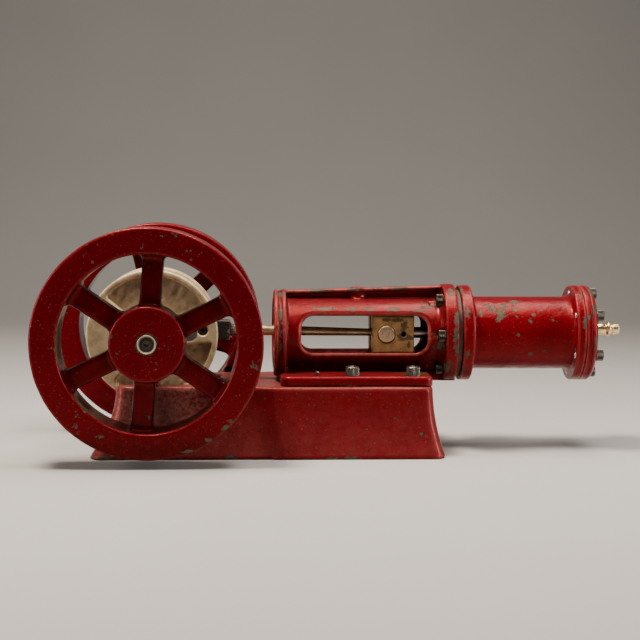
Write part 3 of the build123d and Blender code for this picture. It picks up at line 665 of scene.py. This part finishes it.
shaft_steel = bare_metal("shaft_steel", (0.3, 0.27, 0.24), (0.1, 0.085, 0.07), 0.36, axis=across_engine)
end_oil = [((0, -141, 0), (9.8, 5, 9.8), 0.03)]
shaft_end_steel = bare_metal(
    "shaft_end_steel", (0.5, 0.4, 0.28), (0.32, 0.25, 0.17), 0.36, 0.7, (0.02, 0.014, 0.008), 0.1,
    axis=across_engine, oily=end_oil,
)
piston_rod_steel = bare_metal(
    "piston_rod_steel", (0.62, 0.57, 0.48), (0.36, 0.32, 0.26), 0.3, axis=along_engine
)
# Darker, duller spots on the rod's big end and palm.
big_end_darkening = [((38, 0, 4), (24, 30, 22), 0.1), ((70, 0, 4), (20, 30, 20), 0.3)]
rod_steel = bare_metal(
    "rod_steel", (0.56, 0.39, 0.22), (0.32, 0.22, 0.12), 0.36, 0.75, (0.012, 0.01, 0.008), oily=big_end_darkening
)
bright_screw_steel = bare_metal("bright_screw_steel", (0.62, 0.62, 0.6), (0.35, 0.35, 0.34), 0.28, mottle=300)
screw_steel = bare_metal("screw_steel", (0.19, 0.17, 0.15), (0.08, 0.07, 0.06), 0.38, mottle=300)
# Oil and painted shade: dark steel for screws that sit in shade under the guide flange.
shaded_oily_screw_steel = bare_metal("shaded_oily_screw_steel", (0.09, 0.074, 0.055), (0.022, 0.018, 0.013), 0.34, mottle=300)
foot_screw_steel = bare_metal("foot_screw_steel", (0.19, 0.165, 0.14), (0.08, 0.07, 0.06), 0.34, mottle=300)
crosshead_oil = [
    ((264.5, -25, -3), (7.2, 3, 5.6), 0.22), ((258, -25, 15), (9, 3, 2.6), 0.35), ((264, -25, 10), (5, 3, 4), 0.4),
    ((264, -25, 4), (3.2, 3, 6), 0.4), ((271, -25, -3.5), (5, 3, 2.4), 0.3), ((269.5, -25, -11), (2, 3, 6), 0.35),
    ((246, -25, 15.5), (7, 3, 1.6), 0.4),
]
crosshead_bronze = bare_metal(
    "crosshead_bronze", (0.4, 0.22, 0.085), (0.24, 0.125, 0.045), 0.42, 0.7, (0.075, 0.045, 0.018), 0.45,
    oily=crosshead_oil,
)
disc_iron = bare_metal(
    "disc_iron", (0.58, 0.45, 0.27), (0.36, 0.27, 0.15), 0.48, 0.35, (0.07, 0.045, 0.02), 0.35, across_engine
)
bush_bronze = bare_metal("bush_bronze", (0.5, 0.34, 0.17), (0.28, 0.18, 0.08), 0.34, axis=across_engine)
hidden_iron = bare_metal("hidden_iron", (0.13, 0.12, 0.11), (0.06, 0.055, 0.05), 0.45)
oily_head_iron = bare_metal("oily_head_iron", (0.15, 0.035, 0.018), (0.03, 0.014, 0.009), 0.5, 0.1, mottle=220)

# Solids that no piece here stands for keep their own shape
for material, nodes in (
    (bush_bronze, ("front_bearing_bush", "rear_bearing_bush", "big_end_bush", "small_end_bush", "piston_rod_gland")),
    (shaft_steel, ("crank_journal", "front_crank_pin", "rear_crank_pin")),
    (piston_rod_steel, ("piston_rod",)),
    (hidden_iron, ("piston",)),
):
    for node in nodes:
        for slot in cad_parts[node].material_slots:
            slot.material = material


# Base

base_low, base_high = engine_box("base")
base_top = base_high.z
deck_left, deck_right = -36.0, 290.7
deck_thickness, wall_thickness = 10.0, 8.0
narrow_half_width, widening_start = 68.0, 106.0
pit_middle, pit_depth = 3.5, 25.0


def base_shape(mould, top, inset):
    """The flared body of the base up to a height, drawn in by an inset."""
    flare = (1 - clip((mould.height - base_low.z) / (base_high.z - base_low.z), 0, 1)) ** 2
    bend = clip((mould.along - widening_start - 12.0 * flare) / 20.0, 0, 1)
    half_width = narrow_half_width + 18.5 * flare + bend * (8.0 - 6.5 * flare)
    side = (np.abs(mould.across) - half_width) * 0.9 + inset
    ends = between(mould.along, deck_left - 27.0 * flare, deck_right + 13.1 * flare) * 0.93 + inset
    body = meet(side, ends, max(12.0 - inset, 2.0))
    return meet(body, mould.height - top, 3.0)


mould = Mould(base_low, base_high, 2.0)
base = base_shape(mould, base_top, 0.0)
base = base + mould.waves(38, 0.35, 3)
base = maximum(base, base_low.z - mould.height)
base = cut(base, base_shape(mould, base_top - deck_thickness, wall_thickness), 1.0)
pit = plate(mould.along - pit_middle, mould.across, 66.5, 44.5, 8.0)
base = cut(base, maximum(pit, base_top - pit_depth - mould.height), 1.6)
fit(mould.cast("base_casting", base), "engine_frame", "red_paint", enamel_on_base, "base")


# Crosshead guide

guide_low, guide_high = engine_box("crosshead_guide")
guide_left, guide_right = guide_low.x, guide_high.x
guide_bore, guide_outside = 31.5, 37.0
left_flange_radius, left_flange_thickness = 46.5, 13.0
right_flange_radius, right_flange_thickness = 52.4, 13.6
right_flange_start = guide_right - right_flange_thickness
flange_screw_reach = 41.9
flange_screws = [polar(flange_screw_reach, radians(60 * place)) for place in range(6)]
foot_top = base_top + 10.5
rib_left_end, rib_right_end = left_flange_thickness / 2, right_flange_thickness / 2
rib_low_top, rib_rise = 45.0, 5.9
oil_boss_place = guide_left + 89.6

mould = Mould(guide_low, guide_high, 1.35)
along, across, height = mould.along, mould.across, mould.height
reach = hypot(across, height)
guide = meet(reach - guide_outside, between(along, guide_left, guide_right), 0.8)
left_flange = meet(reach - left_flange_radius, between(along, guide_left, guide_left + left_flange_thickness), 2.6)
groove = hypot(along - guide_left - left_flange_thickness / 2, reach - left_flange_radius) - 2.6
guide = weld(guide, cut(left_flange, groove, 1.6), 3.0)
right_flange = meet(reach - right_flange_radius, between(along, right_flange_start, guide_right), 1.3)
guide = weld(guide, right_flange, 9.0)


def rib_height(along):
    """The rib rises evenly from the left flange to the right one."""
    rib_length = guide_right - guide_left - (rib_left_end + rib_right_end)
    return rib_low_top + rib_rise * (along - guide_left - rib_left_end) / rib_length


rib_top = rib_height(along)
rib_ends = between(along, guide_left + rib_left_end, guide_right - rib_right_end)
rib_web = maximum(meet(np.abs(across) - 2.9, height - rib_top, 1.0), rib_ends)
rib_cap = meet(np.abs(across) - 7.0, between(height, rib_top - 3.4, rib_top), 1.2)
rib = weld(rib_web, maximum(rib_cap, rib_ends), 1.0)
guide = weld(guide, maximum(rib, 15.0 - height), 1.4)
oil_boss_top = rib_height(oil_boss_place) + 0.6
oil_boss = meet(hypot(along - oil_boss_place, across) - 7.0, height - oil_boss_top, 1.6)
guide = weld(guide, maximum(oil_boss, 20.0 - height), 3.0)
foot = plate(along - guide_left - 85.0, across, 79.0, 70.0, 10.0)
foot = meet(foot, between(height, base_top - 4.0, foot_top), 3.2)
saddle = maximum(np.abs(across) - 17.0, between(along, guide_left + 6.0, guide_right - 0.5))
saddle = maximum(saddle, between(height, base_top, 0.0))
guide = weld(guide, weld(foot, saddle, 4.0), 4.0)
guide = guide + mould.waves(30, 0.3, 8)
guide = maximum(guide, base_top - height)
window = plate(along - guide_left - 95.1, height, 66.0, 19.0, 13.0)
guide = cut(guide, window, 6.8)
guide = cut(guide, reach - guide_bore, 0.9)
for screw_across, screw_height in flange_screws:
    pocket = hypot(across - screw_across, height - screw_height) - 7.0
    pocket = maximum(pocket, between(along, right_flange_start - 14.0, right_flange_start))
    guide = cut(guide, pocket, 1.0)
guide = cut(guide, maximum(hypot(along - oil_boss_place, across) - 2.2, oil_boss_top - 9.0 - height), 0.8)
fit(mould.cast("guide_casting", guide), "engine_frame", "red_paint", enamel_on_guide, "crosshead_guide")


# Flywheels

rim_outside, rim_inside = 114.3, 87.8
hub_radius, hub_inner_face, wheel_bore = 37.5, 83, 9.3
spoke_half_width, spoke_inner_face, spoke_outer_face = 10.5, 101.0, 129.0
rim_inner_face, wheel_face = 87.0, 141.0
hole_along, hole_height = polar(rim_inside + 5.6, radians(327))


def cast_flywheel(name, side, first_spoke, balance_hole):
    """A six-spoke flywheel on one side of the engine."""
    mould = side_mould(side, -rim_outside, rim_outside, hub_inner_face, wheel_face, 1.6)
    outward = mould.across * side
    reach = hypot(mould.along, mould.height)
    sixth = pi / 3
    turn = np.mod(np.arctan2(mould.height, mould.along) - radians(first_spoke) + sixth / 2, sixth) - sixth / 2
    spoke_faces = between(outward, spoke_inner_face, spoke_outer_face)
    spokes = meet(np.abs(reach * np.sin(turn)) - spoke_half_width, spoke_faces, 3.0)
    spokes = maximum(spokes, between(reach * np.cos(turn), 20.0, 100.0))
    hub = meet(reach - hub_radius, between(outward, hub_inner_face, wheel_face), 1.8)
    rim = meet(between(reach, rim_inside, rim_outside), between(outward, rim_inner_face, wheel_face), 1.9)
    wheel = weld(weld(hub, spokes, 5.0), rim, 6.5) + mould.waves(26, 0.22, 21)
    wheel = cut(wheel, reach - wheel_bore, 0.8)
    if balance_hole:
        hole = hypot(mould.along - hole_along, mould.height - hole_height) - 4.0
        wheel = cut(wheel, maximum(hole, outward - 105.0), 0.5)
    return mould.cast(name, wheel)


front_wheel = cast_flywheel("front_wheel_casting", -1, 86.0, False)
fit(front_wheel, "crankshaft", "red_paint", enamel_on_front_wheel, "front_flywheel")
rear_wheel = cast_flywheel("rear_wheel_casting", 1, 43.6, True)
fit(rear_wheel, "crankshaft", "red_paint", enamel_on_rear_wheel, "rear_flywheel")


# Bearing posts

post_inside, post_outside = 46.0, 66.0
boss_radius = 24.0


def cast_post(name, side):
    """A bearing post: a round boss on a stem that widens to the base."""
    mould = side_mould(side, base_top, boss_radius, post_inside, post_outside, 1.2)
    faces = between(mould.across * side, post_inside, post_outside)
    boss = meet(hypot(mould.along, mould.height) - boss_radius, faces, 2.0)
    stem = meet(np.abs(mould.along) - 9.0, faces, 2.0)
    stem = maximum(stem, mould.height)
    post = weld(boss, stem, 8.0) + mould.waves(22, 0.25, 31)
    post = maximum(post, base_top - mould.height)
    return mould.cast(name, cut(post, hypot(mould.along, mould.height) - 14.0, 0.6))


sides = ((-1, "front"), (1, "rear"))
for side, side_name in sides:
    post = cast_post(f"{side_name}_post_casting", side)
    fit(post, "engine_frame", "red_paint", enamel_on_posts, f"{side_name}_bearing_post")


# Cylinder, its front head and its cover

cylinder_low, cylinder_high = engine_box("cylinder")
head_low, head_high = engine_box("cylinder_front_head")
cover_low, cover_high = engine_box("cylinder_cover")
bore, barrel, flange = 31.75, 38.7, 50.8
front_flange_end = cylinder_low.x + 12.0
rear_flange_start = cylinder_high.x - 9.5

cylinder_outline = [
    (cylinder_low.x, bore, 0), (cylinder_low.x, flange, 1.6), (front_flange_end, flange, 1.8),
    (front_flange_end, barrel, 4.5), (rear_flange_start, barrel, 8.5), (rear_flange_start, flange, 1.6),
    (cylinder_high.x - 0.3, flange, 0.8), (cylinder_high.x - 0.3, bore, 0), (cylinder_low.x, bore, 0),
]
cylinder = turned("cylinder_casting", cylinder_outline, crank_centre, along_engine, 160)
fit(cylinder, "engine_frame", "red_paint", enamel_on_cylinder, "cylinder")

head_outline = [
    (head_low.x, 6.1, 0), (head_low.x, 46.0, 0.8), (cylinder_low.x, 46.0, 0.8), (cylinder_low.x, bore, 0.4),
    (head_high.x, bore, 0.5), (head_high.x, 6.1, 0), (head_low.x, 6.1, 0),
]
front_head = turned("front_head", head_outline, crank_centre, along_engine)
fit(front_head, "engine_frame", "dark_iron", oily_head_iron, "cylinder_front_head")

cover_groove = cylinder_high.x + 6.7
cover_outline = [
    (cover_low.x, 0, 0), (cover_low.x, bore, 0), (cylinder_high.x + 0.3, bore, 0),
    (cylinder_high.x + 0.3, flange, 0.8), (cover_groove - 0.9, flange, 0.5), (cover_groove, flange - 1.3, 0.3),
    (cover_groove + 0.9, flange, 0.5), (cover_high.x - 3.2, flange, 2.0), (cover_high.x, flange - 3.2, 2.0),
    (cover_high.x, 0, 0),
]
cover = turned("cylinder_cover_plate", cover_outline, crank_centre, along_engine, 160)
fit(cover, "engine_frame", "red_paint", enamel_on_cover, "cylinder_cover")


# Brass inlet fitting

fitting_low, fitting_high = engine_box("inlet_fitting")
fitting_centre = engine_point(0, 0, (fitting_low.z + fitting_high.z) / 2)
fitting_left, fitting_tip = fitting_low.x, fitting_high.x
fitting_outline = [
    (fitting_left + along, reach, corner) for along, reach, corner in (
        (0, 0, 0), (0, 9.5, 0.3), (4.6, 9.5, 1.2), (6.0, 8.0, 1.0), (6.0, 5.8, 0.8), (9.0, 5.6, 1.5),
        (14.5, 6.6, 2.2), (19.0, 5.4, 1.4), (20.2, 7.65, 1.2), (23.2, 7.65, 1.2), (23.6, 4.6, 0.8),
        (26.0, 4.6, 0.8), (26.6, 5.75, 0.7),
    )
]
fitting_bore, bore_depth = 3.2, 14.0
fitting_outline += [
    (fitting_tip, 5.75, 1.1), (fitting_tip, fitting_bore, 0.5), (fitting_tip - bore_depth, fitting_bore, 0.3),
    (fitting_tip - bore_depth, 0, 0),
]
fitting_brass = bare_metal(
    "fitting_brass", (1.0, 0.8, 0.44), (0.84, 0.6, 0.28), 0.27, staining=0.08, axis=along_engine,
    centre=fitting_centre,
)
fitting = turned("inlet_nipple", fitting_outline, fitting_centre, along_engine, 96)
fit(fitting, "engine_frame", "brass_fitting", fitting_brass, "inlet_fitting")


# Crankshaft: two shafts, two discs

shaft_radius = 9.5


def shaft_outline(side):
    """Half of the shaft, from inside its disc out to its drilled end."""
    outline = [
        (18.0, 0, 0), (18.0, shaft_radius, 0.2), (wheel_face, shaft_radius, 1.0), (wheel_face, 8.5, 0.4),
        (wheel_face - 1.4, 7.4, 0.5), (wheel_face - 1.0, 4.2, 0.3), (wheel_face - 1.8, 2.2, 0.3),
        (wheel_face - 6.0, 1.9, 0.3), (wheel_face - 6.6, 0, 0),
    ]
    return [(along * side, reach, corner) for along, reach, corner in outline]


for side, side_name in sides:
    shaft = turned(f"{side_name}_shaft_end", shaft_outline(side), crank_centre, across_engine, 96)
    fit(shaft, "crankshaft", "machined_steel", shaft_end_steel, f"{side_name}_shaft")

disc_outside = 68.3
disc_inner_face, disc_outer_face = 18.0, 40.0
web_half_width, weight_half_angle = 13.0, radians(45.5)
lip_width, hollow_depth = 6.2, 5.5
crank_angle = radians(5.5)
crank_throw, lock_screw_reach = 38.1, 52.8
pin_along, pin_height = polar(crank_throw, crank_angle)
lock_along, lock_height = polar(lock_screw_reach, crank_angle)


def cast_disc(name, side):
    """A crank disc: turned lip, web and counterweight round rough recesses."""
    mould = side_mould(side, -disc_outside, disc_outside, disc_inner_face, disc_outer_face, 1.15)
    outward = mould.across * side
    reach = hypot(mould.along, mould.height)
    turn = np.arctan2(mould.height, mould.along) - crank_angle
    web = maximum(np.abs(reach * np.sin(turn)) - web_half_width, -reach * np.cos(turn))
    from_weight = np.abs(np.mod(turn, 2 * pi) - pi) - weight_half_angle
    weight = reach * np.sin(clip(from_weight, -pi / 2, pi / 2))
    left_standing = weld(weld(reach - 22.0, web, 5.0), weight, 4.0)
    hollow = meet(reach - disc_outside + lip_width, -left_standing, 3.0)
    floor_of_hollow = disc_outer_face - hollow_depth - 1.4 * mould.waves(7, 0.55, 41) - mould.waves(3.2, 0.25, 43)
    disc = meet(reach - disc_outside, between(outward, disc_inner_face, disc_outer_face), 1.2)
    disc = cut(disc, maximum(hollow, floor_of_hollow - outward), 1.0)
    pocket = hypot(mould.along - lock_along, mould.height - lock_height) - 5.3
    disc = cut(disc, maximum(pocket, disc_outer_face - 7.0 - outward), 0.6)
    disc = cut(disc, reach - shaft_radius + 0.3, 0.5)
    return mould.cast(name, cut(disc, hypot(mould.along - pin_along, mould.height - pin_height) - 8.7, 0.5))


for side, side_name in sides:
    disc = cast_disc(f"{side_name}_disc_casting", side)
    fit(disc, "crankshaft", "bare_casting", disc_iron, f"{side_name}_crank_disc")


# Connecting rod, worked out along its own line from the crank pin

rod_length, palm_end = 208.0, 43.0
big_end_radius, small_end_radius = 16.0, 13.0
rod_tilt = -np.arcsin(pin_height / rod_length)
rod_low, rod_high = engine_box("connecting_rod")
mould = Mould(rod_low, rod_high, 0.9)
from_pin, over_pin = mould.along - pin_along, mould.height - pin_height
rod_along = from_pin * np.float32(cos(rod_tilt)) + over_pin * np.float32(sin(rod_tilt))
rod_over = over_pin * np.float32(cos(rod_tilt)) - from_pin * np.float32(sin(rod_tilt))
sideways = np.abs(mould.across)
big_end = meet(hypot(rod_along, rod_over) - big_end_radius, sideways - 17.0, 1.0)
palm = meet(meet(np.abs(rod_over) - 10.5, sideways - 10.0, 1.4), between(rod_along, 0.0, palm_end), 1.4)
shank_size = 6.1 - 2.2 * clip((rod_along - palm_end) / 152.0, 0, 1)
shank = maximum(hypot(rod_over, mould.across) - shank_size, between(rod_along, big_end_radius, rod_length))
small_end = meet(hypot(rod_along - rod_length, rod_over) - small_end_radius, sideways - 8.0, 1.0)
rod = weld(weld(weld(big_end, palm, 2.0), shank, 3.0), small_end, 3.0)
rod = cut(rod, hypot(rod_along, rod_over) - 11.5, 0.5)
rod = cut(rod, hypot(rod_along - rod_length, rod_over) - 11.6, 0.5)
fit(mould.cast("rod_forging", rod), "rod", "machined_steel", rod_steel, "connecting_rod")


# Crosshead and its pin

crosshead_low, crosshead_high = engine_box("crosshead")
crosshead_left = crosshead_low.x
wrist_low, wrist_high = engine_box("crosshead_pin")
wrist_along = (wrist_low.x + wrist_high.x) / 2
shoe_radius, shoe_half_width = 31.2, 25.0
slot_half_width, slot_depth, wrist_bore = 9.0, 31.0, 9.1
mould = Mould(crosshead_low, crosshead_high, 0.8)
along, across, height = mould.along, mould.across, mould.height
shoe = meet(hypot(across, height) - shoe_radius, np.abs(across) - shoe_half_width, 0.8)
crosshead = meet(shoe, between(along, crosshead_left, crosshead_high.x), 0.9)
crosshead = cut(crosshead, maximum(np.abs(across) - slot_half_width, along - crosshead_left - slot_depth), 0.6)
crosshead = cut(crosshead, hypot(along - wrist_along, height) - wrist_bore, 0.5)
pinch_hole = maximum(hypot(along - crosshead_left - 33.3, height) - 2.7, 10.0 - np.abs(across))
crosshead = cut(crosshead, pinch_hole, 0.5)
fit(mould.cast("crosshead_shoe", crosshead), "crosshead", "bronze", crosshead_bronze, "crosshead")

wrist_middle = engine_point(wrist_along, 0, 0)
pin_steel = bare_metal(
    "pin_steel", (0.58, 0.4, 0.26), (0.32, 0.22, 0.14), 0.36, staining=0.25, axis=across_engine,
    centre=wrist_middle, mottle=500,
)
wrist_outline = [
    (wrist_low.y, 0, 0), (wrist_low.y + 0.3, 7.9, 1.0), (wrist_low.y + 1.2, 9.0, 0.6),
    (wrist_high.y - 1.2, 9.0, 0.6), (wrist_high.y - 0.3, 7.9, 1.0), (wrist_high.y, 0, 0),
]
wrist_pin = turned("crosshead_pin_turned", wrist_outline, wrist_middle, across_engine, 96)
fit(wrist_pin, "crosshead", "machined_steel", pin_steel, "crosshead_pin")


# Socket head screws


def screw_mesh(name, radius, height, socket):
    """A knurled head standing on nothing along +Z, with a hexagon socket in its top."""
    facets = 120
    rings = [
        (0.0, radius - 0.15, 0.0), (0.35, radius, 0.0), (height * 0.12, radius, 0.22), (height * 0.84, radius, 0.22),
        (height * 0.9, radius - 0.05, 0.0), (height - 0.25, radius - 0.55, 0.0), (height, radius - 0.95, 0.0),
    ]
    turns = [2 * pi * facet / facets for facet in range(facets)]
    points = []
    for level, reach, knurl in rings:
        for facet, angle in enumerate(turns):
            at = reach - (knurl if facet % 2 else 0.0)
            points.append(Vector((*polar(at, angle), level)) * mm)
    for level in (height, height - 0.25, height * 0.42):
        for angle in turns:
            from_flat = angle % (pi / 3) - pi / 6
            at = (socket / 2 + (0.2 if level == height else 0.0)) / cos(from_flat)
            points.append(Vector((*polar(at, angle), level)) * mm)
    points += [Vector((0, 0, height * 0.3)) * mm] * facets
    piece = new_piece(name, points, ring_faces(len(points) // facets, facets))
    weld_points(piece)
    mesh = piece.data
    mesh.shade_flat()
    bpy.data.objects.remove(piece)
    return mesh


def set_screw(name, mesh, place, direction, body, material):
    """One screw's head, standing on a place and pointing a way."""
    screw = bpy.data.objects.new(name, mesh)
    screw.location = place
    screw.rotation_euler = Vector(direction).to_track_quat("Z", "Y").to_euler()
    bpy.context.collection.objects.link(screw)
    fit(screw, body, "dark_iron", material)


flange_head_size = (5.95, 7.9, 6.35)
foot_screw_head = screw_mesh("foot_screw_head", 7.15, 9.5, 7.9)
guide_screw_head = screw_mesh("guide_screw_head", *flange_head_size)
cover_screw_head = screw_mesh("cover_screw_head", *flange_head_size)
lock_screw_head = screw_mesh("lock_screw_head", 4.9, 5.2, 4.0)

for side, side_name in sides:
    for place, end_name in ((207.0, "left"), (270.0, "right")):
        name = f"foot_screw_{side_name}_{end_name}"
        place_on_foot = engine_point(place, 60.0 * side, foot_top - 0.1)
        set_screw(name, foot_screw_head, place_on_foot, upwards, "engine_frame", foot_screw_steel)
    lock_place = engine_point(lock_along, 33.2 * side, lock_height)
    set_screw(f"lock_screw_{side_name}", lock_screw_head, lock_place, (0, side, 0), "crankshaft", shaded_oily_screw_steel)

stud_outline = [(-0.3, 0, 0), (-0.3, 1.0, 0), (2.3, 1.0, 0), (2.4, 2.3, 0.3), (4.0, 2.1, 0.5), (4.1, 0, 0)]
stud = turned("foot_stud", stud_outline, engine_point(171.0, -60.0, foot_top), upwards, 24)
fit(stud, "engine_frame", "machined_steel", foot_screw_steel)

# The guide flange screws take steel darkened by painted shade as well as oil.
for number, spot in enumerate(flange_screws, 1):
    name = f"guide_flange_screw_{number}"
    place = engine_point(right_flange_start, *spot)
    set_screw(name, guide_screw_head, place, (-1, 0, 0), "engine_frame", shaded_oily_screw_steel)

cover_screws = [polar(flange_screw_reach, radians(30 + 60 * place)) for place in range(6)]
screw_tip_outline = [(0.8, 0, 0), (0.8, 3.2, 0.3), (-0.5, 3.2, 0.6), (-1.4, 2.0, 0.8), (-1.6, 0, 0)]
for number, spot in enumerate(cover_screws, 1):
    place = engine_point(cover_high.x - 0.05, *spot)
    set_screw(f"cover_screw_{number}", cover_screw_head, place, along_engine, "engine_frame", screw_steel)
    tip_place = engine_point(rear_flange_start, *spot)
    tip = turned(f"cover_screw_tip_{number}", screw_tip_outline, tip_place, along_engine, 32)
    fit(tip, "engine_frame", "machined_steel", bright_screw_steel)


# Floor

floor_front, curve_start, curve_radius = -12.0, 1.6, 1.2
floor_run = [(floor_front, 0.0), (curve_start, 0.0)]
for turn in range(6, 91, 6):
    across, height = curve_radius * sin(radians(turn)), curve_radius - curve_radius * cos(radians(turn))
    floor_run.append((curve_start + across, height))
floor_run.append((2.8, 5.0))
floor_points = [(x, y, z) for y, z in floor_run for x in (-10.0, 10.0)]
floor_faces = [(2 * row, 2 * row + 1, 2 * row + 3, 2 * row + 2) for row in range(len(floor_run) - 1)]
floor = new_piece("studio_floor", floor_points, floor_faces)
floor_paper, floor_tree, floor_shader, floor_place = start_material("floor_paper")
floor_tone = blend(floor_tree, noise(floor_tree, floor_place, 3.0, 3), (0.38, 0.375, 0.365, 1), (0.42, 0.415, 0.405, 1))
join(floor_tree, floor_tone, floor_shader, "Base Color")
floor_shader.inputs["Roughness"].default_value = 0.65
floor.data.materials.append(floor_paper)

room = bpy.data.worlds.new("studio_room")
room.use_nodes = True
room.node_tree.nodes["Background"].inputs["Color"].default_value = (0.8, 0.84, 0.9, 1)
room.node_tree.nodes["Background"].inputs["Strength"].default_value = 0.06
bpy.context.scene.world = room
